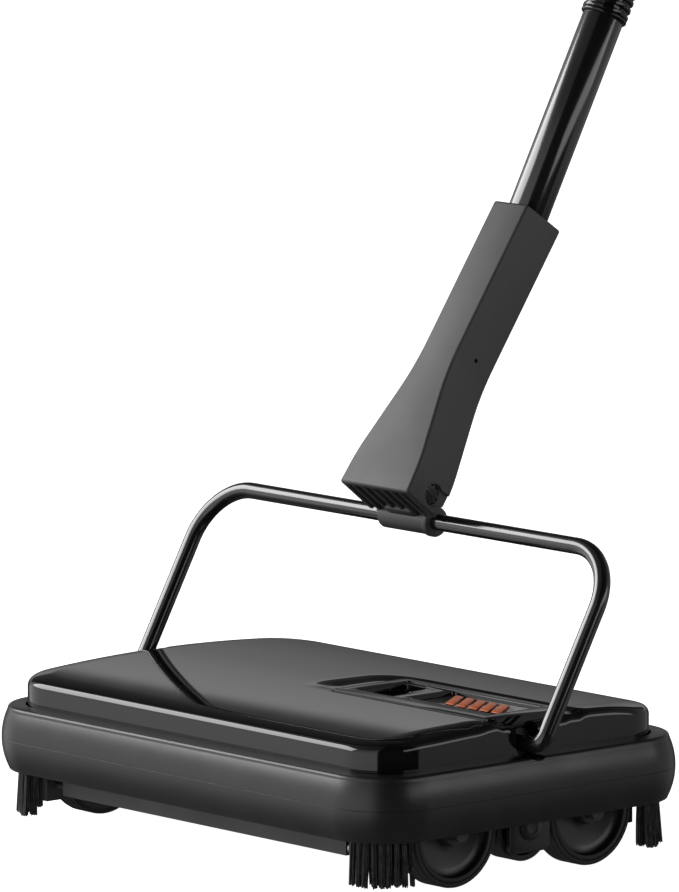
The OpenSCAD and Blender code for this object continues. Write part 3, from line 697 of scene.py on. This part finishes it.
def build_sleeve():
    """Sleeve round the bail's bar, with a collar at its right end."""
    hx, r, bore = 20.0, SLEEVE_R, ROD_R + FIT
    profile = [(bore, -hx), (r - 0.6, -hx), (r - 0.18, -hx + 0.18), (r, -hx + 0.6)]
    profile += [(r, hx - 4.5), (r + 0.5, hx - 4), (r + 0.8, hx - 3.5), (r + 0.8, hx - 0.6)]
    profile += [(r + 0.6, hx - 0.2), (r + 0.2, hx), (bore, hx)]
    sleeve = lathe("bail_sleeve_ring", profile, along_x(0, BAR.y / MM, BAR.z / MM), 72, closed=True)
    return smooth(scaled(sleeve), 35)


SOCKET = {
    "len": 176.5, "neck": 13.5, "foot": 27.5, "hip": 26.0, "neck_z": 74.0, "shoulder": 20.0, "floor": -1.6,
    "rise": 2.1, "back": -4.7, "front": -34.2, "wall": 2.4, "rib": 2.2, "pocket": 78.0,
}
SCREW = (-19, 88)
BARREL = (-15.9, 8.7)
BARREL_HX = 24.5
BARREL_R = 5.5
TUBE_OFFSET = -19.8
TUBE_SEAT = 18.0


def eased(before, corner, after, reach, n=6):
    """Replaces a corner of an outline with a curve that starts and ends at reach from it."""
    before, corner, after = Vector(before), Vector(corner), Vector(after)
    a = corner + (before - corner).normalized() * reach
    b = corner + (after - corner).normalized() * reach
    return [tuple(a.lerp(corner, i / n).lerp(corner.lerp(b, i / n), i / n)) for i in range(n + 1)]


def socket_block(name):
    """The socket seen from the front, with smooth hips and neck, extruded from front to back."""
    s = SOCKET
    foot, hip = (s["foot"], s["floor"]), (s["hip"], s["shoulder"])
    neck, top = (s["neck"], s["neck_z"]), (s["neck"], s["len"])
    half = [foot, *eased(foot, hip, neck, 7), *eased(hip, neck, top, 16), top]
    outline = half + [(-x, z) for x, z in half[::-1]]
    place = Matrix(((1, 0, 0, 0), (0, 0, 1, s["front"]), (0, 1, 0, 0), (0, 0, 0, 1)))
    return prism(name, outline, s["back"] - s["front"], place)


def pocket(a, b):
    """One pocket between two ribs of the open foot, from x = a to b."""
    hip, neck = SOCKET["hip"] - SOCKET["wall"], SOCKET["neck"] - SOCKET["wall"]
    a, b = max(a, -hip), min(b, hip)

    def top(x):
        if abs(x) <= neck:
            return SOCKET["pocket"]
        t = (abs(x) - neck) / (hip - neck)
        return SOCKET["neck_z"] - t * (SOCKET["neck_z"] - SOCKET["shoulder"])

    stops = sorted({a, b, *[x for x in (-neck, neck) if a < x < b]}, reverse=True)
    roof = []
    for x in stops:
        if abs(abs(x) - neck) < 1e-6:
            pair = [(x, SOCKET["neck_z"]), (x, SOCKET["pocket"])]
            roof += pair if x > 0 else pair[::-1]
        else:
            roof.append((x, top(x)))
    outline = [(a, -8), (b, -8)] + roof
    place = Matrix(((1, 0, 0, 0), (0, 0, 1, SOCKET["front"] + SOCKET["wall"]), (0, 1, 0, 0), (0, 0, 0, 1)))
    return prism("pocket", outline, SOCKET["back"] - SOCKET["front"] - 2 * SOCKET["wall"], place)


def across(name, outline, hx):
    """An outline in y and z, extruded along x from -hx to hx."""
    return prism(name, outline, 2 * hx, Matrix(((0, 0, 1, -hx), (1, 0, 0, 0), (0, 1, 0, 0), (0, 0, 0, 1))))


def build_socket():
    """Hollow flared block with ribs in its open foot, a hook round the bail's bar and seats for the barrel."""
    s = SOCKET
    body = socket_block("socket_shell")
    low, high = s["floor"], s["floor"] + s["rise"]
    front, back = s["front"] - 1, s["back"] + 1
    cut(body, across("underside", [(front, low - 2), (back, low - 2), (back, low), (front, high)], 40))
    bevel(body, 1.5, 4, 40)
    slots = 7
    pitch = (2 * s["foot"] - s["rib"]) / slots
    for i in range(slots):
        cut(body, pocket(-s["foot"] + s["rib"] + i * pitch, -s["foot"] + (i + 1) * pitch))
    hook = bevel(box_mesh("hook", (-12, s["back"] - 8, -2), (12, s["back"] + 9, s["shoulder"] + 8)), 2.5, 4)
    cut(body, hook, operation="UNION")
    y, z = BARREL
    out = 50
    tools = [rod_x("barrel", -out, out, y, z, BARREL_R + 0.1), rod_x("bar", -out, out, 0, 0, SLEEVE_R)]
    for side in (-1, 1):
        near, far = sorted((side * BARREL_HX, side * out))
        tools.append(rod_x("seat", near, far, y, z, BARREL_R + 0.9))
        tools.append(box_mesh("mouth", (near, y, z - 4.5), (far, s["back"] + 3, z + 5)))
    tools += [rod_x("collar", 15.7, out, 0, 0, 8.5), rod_x("screw", 4.5, 27, *SCREW, 1.2)]
    cut(body, *tools)
    placed(body, at_socket())
    cut(body, placed(lathe("bore", [(TUBE_R + FIT, -TUBE_SEAT), (TUBE_R + FIT, 12)]), at_tube()))
    return smooth(scaled(body), 32)


def build_barrel():
    """Grooved detent barrel across the socket's foot."""
    r, grooves = BARREL_R, 9
    outline = []
    for k in range(grooves):
        a = 2 * math.pi * k / grooves
        for off, rad in ((-0.34, r), (-0.12, r), (-0.09, r - 0.9), (0.09, r - 0.9), (0.12, r), (0.34, r)):
            outline.append((rad * math.cos(a + off), rad * math.sin(a + off)))
    place = at_socket() @ Matrix.Translation((-BARREL_HX, *BARREL)) @ Matrix.Rotation(math.pi / 2, 4, "Y")
    barrel = bevel(prism("detent_roll", outline, 2 * BARREL_HX), 0.35, 2, 50)
    return smooth(scaled(placed(barrel, place)), 30)


def build_socket_screw():
    """Small slotted screw, sunk deep in its hole."""
    profile = [(0.01, 0), (1.15, 0), (1.15, 6.6), (0.9, 7.0), (0.01, 7.0)]
    y, z = SCREW
    screw = lathe("socket_fixing", profile, along_x(4.5, y, z), 40)
    cut(screw, box_mesh("slit", (11.1, y - 0.3, z - 3), (14, y + 0.3, z + 3)))
    return smooth(scaled(placed(screw, at_socket())), 35)


TUBE_R = 11.4
TUBE_WALL = 0.8
TUBE_SPANS = {"tube_lower": (-TUBE_SEAT, 117.0), "tube_middle": (143.0, 405.0), "tube_upper": (431.0, 693.0)}
TUBE_TOP = 693.0
CAP_R = 13.5
PLUG = 20


def build_tube(node):
    z0, z1 = TUBE_SPANS[node]
    profile = chamfered(TUBE_R - TUBE_WALL, TUBE_R, z0, z1, 0.4)
    return smooth(scaled(lathe(node + "_pipe", profile, at_tube(), 96, closed=True)), 30)


def build_coupling(node, z0):
    """Collar with a rounded shoulder at its lower end and five rounded rings."""
    length, rings, r = 26.0, 5, TUBE_R + 1.5
    bore, shank = TUBE_R - 4, TUBE_R - TUBE_WALL
    profile = [(bore, -PLUG), (shank - 0.5, -PLUG), (shank, 0.5 - PLUG), (shank, 0), (TUBE_R, 0)]
    profile += arc(TUBE_R + 0.2, 1.3, 1.3, -80, 60, 6)
    pitch = (length - 4) / rings
    for i in range(rings):
        z = 2 + i * pitch
        profile += [(TUBE_R, z + 0.3)] if i else [(TUBE_R + 1.0, z + 0.5)]
        profile += [(r - 0.5, z + 0.5), (r - 0.1, z + 0.9), (r, z + pitch * 0.35)]
        profile += [(r - 0.1, z + pitch * 0.6), (r - 0.5, z + pitch * 0.72), (TUBE_R, z + pitch * 0.8)]
    profile += [(TUBE_R, length), (shank, length), (shank, length + PLUG - 0.5)]
    profile += [(shank - 0.5, length + PLUG), (bore, length + PLUG)]
    place = at_tube() @ Matrix.Translation((0, 0, z0))
    return smooth(scaled(lathe(node + "_collar", profile, place, 96, closed=True)), 30)


def build_grip():
    """Foam sleeve, rounded at its ends and pressed in a little under the cap."""
    z1, length, r = TUBE_TOP, 130.0, CAP_R
    profile = [(TUBE_R, z1 - length)] + arc(r - 2.5, z1 - length + 2.5, 2.5, -90, 0, 6)
    for i in range(1, 40):
        z = z1 - length + 2.5 + (length - 4.5) * i / 40
        profile.append((r - 0.12 * (1 + math.sin(i * 1.3)), z))
    profile += arc(r - 2, z1 - 2, 2, 0, 90, 6) + [(TUBE_R, z1)]
    return smooth(scaled(lathe("foam_grip", profile, at_tube(), 96, closed=True)), 60)


def build_cap():
    """Rounded end cap with a hole across it."""
    z1, r, top, edge = TUBE_TOP, CAP_R, 24.0, 6.0
    plug_r = TUBE_R - TUBE_WALL
    profile = [(0.01, z1 - PLUG), (plug_r - 1, z1 - PLUG), (plug_r, z1 - PLUG + 1), (plug_r, z1)]
    profile += [(r - 0.6, z1), (r, z1 + 0.6)]
    profile += arc(r - edge, z1 + top - edge, edge, 0, 90, 14) + [(0.01, z1 + top)]
    cap = lathe("end_cap", profile, Matrix(), 96)
    cut(cap, rod_x("hole", -20, 20, 0, z1 + 12, 4))
    bevel(cap, 0.5, 2, 45)
    return smooth(scaled(placed(cap, at_tube())), 32)


# ---- running gear ----

WHEEL_X, WHEEL_W = 134.0, 15.0
RIM_R, TYRE_R = 26.5, 29.0
AXLE_R = 3.0
BRACKET_X, BRACKET_T = 150.4, 3.6
BRUSH_Z = 27.0


def wheel_place(s, node):
    """Places a lathe on a wheel's axle, growing outwards from the wheel's inner face."""
    lo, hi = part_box(node)
    mid = (lo + hi) / 2 / MM
    return Matrix.Translation((s * WHEEL_X, mid.y, mid.z)) @ Matrix.Rotation(s * math.pi / 2, 4, "Y")


def build_hub(corner):
    """Dished wheel: rounded rim, a step, a thin web and a boss."""
    s = CORNERS[corner][0]
    r, w, bore = RIM_R, WHEEL_W, AXLE_R + FIT
    profile = [(r, 0.4), (r, w - 0.6)] + arc(r - 0.9, w - 0.9, 0.9, 0, 90, 4)[1:]
    profile += [(r - 2.6, w), (r - 3.0, w - 0.4), (r - 3.2, w - 3.4), (r - 4.2, w - 4.4), (r - 7.5, w - 5.2)]
    profile += [(12, 8.4), (8.6, 8.2), (7.6, 8.6), (7.1, 14.6), (6.7, 15.1), (bore, 15.3)]
    profile += [(bore, 0.4), (7, 0.4), (7, 5), (r - 3.4, 5), (r - 3, 4.6), (r - 3, 0.4)]
    hub = lathe("wheel_disc_" + corner, profile, wheel_place(s, "hub_" + corner), 96, closed=True)
    return smooth(scaled(hub), 34)


def build_tyre(corner):
    """Rubber tyre with three shallow grooves round its tread."""
    s = CORNERS[corner][0]
    r0, r, w = RIM_R, TYRE_R, WHEEL_W
    profile = [(r0, 0)] + arc(r - 1.1, 1.1, 1.1, -90, 0, 4)
    for z in (4.0, 7.5, 11.0):
        profile += [(r, z - 0.5), (r - 0.35, z - 0.25), (r - 0.35, z + 0.25), (r, z + 0.5)]
    profile += arc(r - 1.1, w - 1.1, 1.1, 0, 90, 4) + [(r0, w)]
    tyre = lathe("tyre_ring_" + corner, profile, wheel_place(s, "hub_" + corner), 128, closed=True)
    return smooth(scaled(tyre), 30)


def build_bracket(side):
    """Plate outside the drive drum: shouldered outline, rounded edges and a domed boss."""
    s = 1 if side == "right" else -1
    z0, z1, hy = 13.5, 60.0, 14.0
    outline = arc(-hy + 4, z0 + 4, 4, 180, 270, 6) + arc(hy - 4, z0 + 4, 4, 270, 360, 6) + [(hy, z1), (-hy, z1)]
    place = Matrix(((0, 0, s, s * BRACKET_X), (1, 0, 0, 0), (0, 1, 0, 0), (0, 0, 0, 1)))
    plate = bevel(prism("bracket_" + side, outline, BRACKET_T, place), 0.7, 3)
    tab = box_mesh("tab", (s * 148.0, -hy + 0.2, 56.2), (s * 153.6, hy - 0.2, 59.8))
    cut(plate, tab, operation="UNION")
    dome = [(0.01, -2.5), (7, -2.5), (7, 4.4), (6.7, 5.1), (6, 5.5), (3.6, 5.6), (3.2, 5.2), (0.01, 5.0)]
    turn = Matrix.Rotation(s * math.pi / 2, 4, "Y")
    boss = lathe("boss", dome, Matrix.Translation((s * BRACKET_X, 0, BRUSH_Z)) @ turn, 64)
    cut(plate, boss, operation="UNION")
    cut(plate, rod_x("bore", *sorted((s * 140, s * (BRACKET_X + 3))), 0, BRUSH_Z, AXLE_R + FIT))
    return smooth(scaled(plate), 32)


def strand(bm, root, tip, bend, r0, r1, turns, steps):
    """A thin tapering bristle from root to tip, bowed by bend."""
    rings = []
    along = (tip - root).normalized()
    side = along.orthogonal().normalized()
    other = along.cross(side)
    for i in range(steps + 1):
        t = i / steps
        p = root.lerp(tip, t) + bend * (4 * t * (1 - t))
        r = r0 + (r1 - r0) * t
        ring = []
        for k in range(turns):
            a = 2 * math.pi * k / turns
            ring.append(bm.verts.new((p + side * (r * math.cos(a)) + other * (r * math.sin(a))) * MM))
        rings.append(ring)
    for low, high in zip(rings, rings[1:]):
        for k in range(turns):
            bm.faces.new((low[k], low[(k + 1) % turns], high[(k + 1) % turns], high[k]))
    bm.faces.new(rings[0][::-1])
    bm.faces.new(rings[-1])


def bristle_object(name, bm):
    mesh = bpy.data.meshes.new(name)
    bmesh.ops.recalc_face_normals(bm, faces=bm.faces)
    bm.to_mesh(mesh)
    bm.free()
    return smooth(link_object(name, mesh), 60)


# Radius, step in degrees, number of clumps and outward lean of each row
TUFT_ROWS = ((22.3, 9.8, 8, -0.6), (26.3, 8.6, 9, 1.4))
TUFT_CX, TUFT_CY, TUFT_TOP, CLUMP_R = 127.5, 78.5, 34.5, 1.35


def build_tuft(corner):
    """Two rows of stiff bristle clumps, fanned round a corner."""
    sx, sy = CORNERS[corner]
    rng = random.Random(SEED + 3 * sx + sy)
    centre = Vector((sx * TUFT_CX, sy * TUFT_CY, 0))
    bm = bmesh.new()
    for radius, step, count, lean in TUFT_ROWS:
        for i in range(count):
            a = math.radians(45 + (i - (count - 1) / 2) * step)
            out = Vector((sx * math.cos(a), sy * math.sin(a), 0))
            side = Vector((-out.y, out.x, 0))
            root = centre + out * radius
            shift = out * (lean + rng.uniform(-0.9, 0.9)) + side * rng.uniform(-1.0, 1.0)
            low = rng.uniform(5.0, 6.2)
            for _ in range(34):
                b, q = rng.uniform(0, 2 * math.pi), math.sqrt(rng.random())
                foot = Vector((math.cos(b) * q * CLUMP_R, math.sin(b) * q * CLUMP_R, 0))
                tip = foot * rng.uniform(1.0, 1.35) + shift
                bow = out * rng.uniform(-0.3, 0.3) + side * rng.uniform(-0.3, 0.3)
                top = root + foot + Vector((0, 0, TUFT_TOP))
                end = root + tip + Vector((0, 0, low + rng.uniform(0, 1.3)))
                strand(bm, top, end, bow, 0.34, 0.26, 5, 4)
    return bristle_object("corner_tuft_" + corner, bm)


def build_brush():
    """Straight rows of bristle tufts round the brush core."""
    rng = random.Random(SEED)
    bm = bmesh.new()
    axis_z, core, reach, hx = BRUSH_Z, 11.5, 25.9, 110.5
    rows, count = 8, 56
    for row in range(rows):
        for i in range(count):
            x = -hx + 2 * hx * (i + 0.5) / count
            a = 2 * math.pi * row / rows
            for _ in range(5):
                b = a + rng.uniform(-0.1, 0.1)
                dx = rng.uniform(-1.3, 1.3)
                root = Vector((x + dx * 0.5, core * math.cos(b), axis_z + core * math.sin(b)))
                c = a + rng.uniform(-0.07, 0.07)
                r = reach - rng.uniform(0, 0.8)
                tip = Vector((x + dx, r * math.cos(c), axis_z + r * math.sin(c)))
                strand(bm, root, tip, Vector((0, 0, 0)), 0.3, 0.18, 4, 2)
    return bristle_object("brush_rows", bm)


# ---- put everything in place ----


def build_all():
    finish_piece(build_lid(), "body", GLOSS, "top_housing", slot="gloss_black")
    finish_piece(build_bumper(), "body", SATIN, "bumper", slot="satin_black")
    finish_piece(build_plate(), "body", GLOSS, "bezel", slot="gloss_black")
    finish_piece(build_badge(), "body", ORANGE, "badge", slot="badge_orange")
    finish_piece(build_paddle(), "paddle", SOCKET_MAT, "release_paddle", slot="satin_black")
    finish_piece(build_bail(), "bail", LACQUER, "bail", slot="rod_paint")
    finish_piece(build_sleeve(), "handle", SOCKET_MAT, "bail_sleeve", slot="socket_grey")
    finish_piece(build_socket(), "handle", SOCKET_MAT, "handle_socket", slot="socket_grey")
    finish_piece(build_barrel(), "handle", SATIN, "detent_barrel", slot="satin_black")
    finish_piece(build_socket_screw(), "handle", INNER, "socket_screw", slot="inner_black")
    for node in TUBE_SPANS:
        finish_piece(build_tube(node), "handle", LACQUER, node, slot="rod_paint")
    for node, tube in (("coupling_lower", "tube_lower"), ("coupling_upper", "tube_middle")):
        finish_piece(build_coupling(node, TUBE_SPANS[tube][1]), "handle", GLOSS, node, slot="gloss_black")
    finish_piece(build_grip(), "handle", FOAM, "grip", slot="grip_foam")
    finish_piece(build_cap(), "handle", SATIN, "hang_cap", slot="satin_black")
    for corner in CORNERS:
        finish_piece(build_hub(corner), "wheel_" + corner, SATIN, "hub_" + corner, slot="satin_black")
        finish_piece(build_tyre(corner), "wheel_" + corner, RUBBER, "tyre_" + corner, slot="tyre_rubber")
        finish_piece(build_tuft(corner), "body", BRISTLE, "tuft_" + corner, slot="bristle")
    for side in ("left", "right"):
        finish_piece(build_bracket(side), "body", SATIN, "bearing_bracket_" + side, slot="satin_black")
    finish_piece(build_brush(), "brush_roll", BRISTLE, "brush_bristles", slot="bristle")


# ---- light, floor and camera ----


def add_area(name, place, target, size_x, size_y, power):
    data = bpy.data.lights.new(name, "AREA")
    data.shape = "RECTANGLE"
    data.size = size_x
    data.size_y = size_y
    data.energy = power
    obj = link_object(name, data)
    obj.location = place
    obj.rotation_euler = (target - place).to_track_quat("-Z", "Y").to_euler()


def build_floor():
    half = 14.0
    corners = [(-half, -half, 0), (half, -half, 0), (half, half, 0), (-half, half, 0)]
    floor = add_object("floor", corners, [(0, 1, 2, 3)])
    mat = new_material("floor_paper", (0.86, 0.86, 0.86), 0.9)
    noise = add_noise(mat, 3.0, 2)
    vary(mat, "Base Color", noise, (0.85, 0.85, 0.85), (0.87, 0.87, 0.87))
    shader = mat.node_tree.nodes["Principled BSDF"]
    shader.inputs["Emission Color"].default_value = (1, 1, 1, 1)
    shader.inputs["Emission Strength"].default_value = 1.0
    shader.inputs["Specular IOR Level"].default_value = 0.0
    floor.data.materials.append(mat)
    floor.visible_glossy = False


# Brightness of the studio round the object, by azimuth in degrees from the front towards the right
STUDIO_ROUND = (
    (-180, 0.3), (-98, 0.8), (-86, 1.2), (30, 1.15), (33, 0.01), (125, 0.01), (128, 0.36), (180, 0.3),
)
# Its share by elevation, and the brightness of the wall behind the object by elevation
STUDIO_RISE = (
    (-90, 0.03), (-40, 0.08), (-24, 0.25), (-14, 0.9), (-8, 1.0), (6, 1.0), (24, 0.75), (38, 0.5), (44, 0.2),
    (90, 0.1),
)
STUDIO_FAR = (
    (-90, 0.05), (0, 0.08), (4, 0.17), (9, 0.3), (14.5, 0.55), (15.6, 0.1), (26, 0.05), (60, 0.02),
)
FAR_SPAN, FAR_EDGE = (-165, -98), 3


def ramp_of(tree, stops, place):
    """A colour ramp through the given stops, each put at place(value)."""
    ramp = tree.nodes.new("ShaderNodeValToRGB")
    elements = ramp.color_ramp.elements
    elements.remove(elements[1])
    elements[0].position = place(stops[0][0])
    elements[0].color = (stops[0][1],) * 3 + (1,)
    for value, level in stops[1:]:
        elements.new(place(value)).color = (level, level, level, 1)
    return ramp


def maths(tree, operation, *inputs):
    """A maths node whose inputs are values or other nodes' outputs."""
    out = tree.nodes.new("ShaderNodeMath")
    out.operation = operation
    for i, value in enumerate(inputs):
        if isinstance(value, (int, float)):
            out.inputs[i].default_value = value
        else:
            tree.links.new(value, out.inputs[i])
    return out.outputs[0]


def build_world():
    """Studio surroundings: light panels to the front and left, dark to the right, a graded wall behind."""
    world = bpy.data.worlds.new("studio")
    bpy.context.scene.world = world
    world.use_nodes = True
    tree = world.node_tree
    coords = tree.nodes.new("ShaderNodeTexCoord")
    split = tree.nodes.new("ShaderNodeSeparateXYZ")
    tree.links.new(coords.outputs["Generated"], split.inputs["Vector"])
    x, y, z = split.outputs
    back = maths(tree, "MULTIPLY", y, -1.0)
    azimuth = maths(tree, "ARCTAN2", x, back)
    turn = maths(tree, "MULTIPLY_ADD", azimuth, 0.5 / math.pi, 0.5)
    rise = maths(tree, "MULTIPLY_ADD", z, 0.5, 0.5)

    def by_turn(degrees):
        return degrees / 360 + 0.5

    def by_rise(degrees):
        return math.sin(math.radians(degrees)) / 2 + 0.5

    def level(stops, place, source):
        ramp = ramp_of(tree, stops, place)
        tree.links.new(source, ramp.inputs["Fac"])
        return ramp.outputs["Color"]

    left, right = FAR_SPAN
    far_stops = ((left - FAR_EDGE, 0), (left + FAR_EDGE, 1), (right - FAR_EDGE, 1), (right + FAR_EDGE, 0))
    levels = [
        level(STUDIO_ROUND, by_turn, turn),
        level(STUDIO_RISE, by_rise, rise),
        level(STUDIO_FAR, by_rise, rise),
        level(((-180, 0), *far_stops, (180, 0)), by_turn, turn),
    ]
    near = maths(tree, "MULTIPLY", levels[0], levels[1])
    behind = maths(tree, "MULTIPLY", levels[2], levels[3])
    beside = maths(tree, "SUBTRACT", 1.0, levels[3])
    total = maths(tree, "MULTIPLY_ADD", near, beside, behind)
    background = tree.nodes["Background"]
    background.inputs["Color"].default_value = (1, 1, 1, 1)
    tree.links.new(total, background.inputs["Strength"])


CAM_PLACE = (3.7041, -3.2594, 0.9268)
CAM_AZIMUTH = 48.63
CAM_ELEVATION = 8.25
CAM_LENS = 378.3


def build_camera():
    data = bpy.data.cameras.new("camera")
    data.lens = CAM_LENS
    data.sensor_width = 36
    data.clip_start = 0.05
    data.clip_end = 100
    cam = link_object("camera", data)
    a, e = math.radians(CAM_AZIMUTH), math.radians(CAM_ELEVATION)
    forward = Vector((-math.sin(a) * math.cos(e), math.cos(a) * math.cos(e), -math.sin(e)))
    cam.location = CAM_PLACE
    cam.rotation_euler = forward.to_track_quat("-Z", "Y").to_euler()
    bpy.context.scene.camera = cam


def studio_place(azimuth, elevation, distance):
    """A point round the object, by azimuth in degrees from the front towards the right."""
    a, e = math.radians(azimuth), math.radians(elevation)
    return Vector((math.sin(a) * math.cos(e), -math.cos(a) * math.cos(e), math.sin(e))) * distance


def build_lights():
    target = Vector((0, 0, 0.12))
    add_area("left_box", target + studio_place(-56, 29, 2.4), target, 2.2, 1.1, 48)
    add_area("right_box", target + studio_place(114, 16, 2.4), target, 2.2, 0.7, 8.5)


bpy.context.scene.view_settings.view_transform = "Standard"
paint_cad_nodes()
build_camera()
build_world()
build_floor()
build_lights()
build_all()
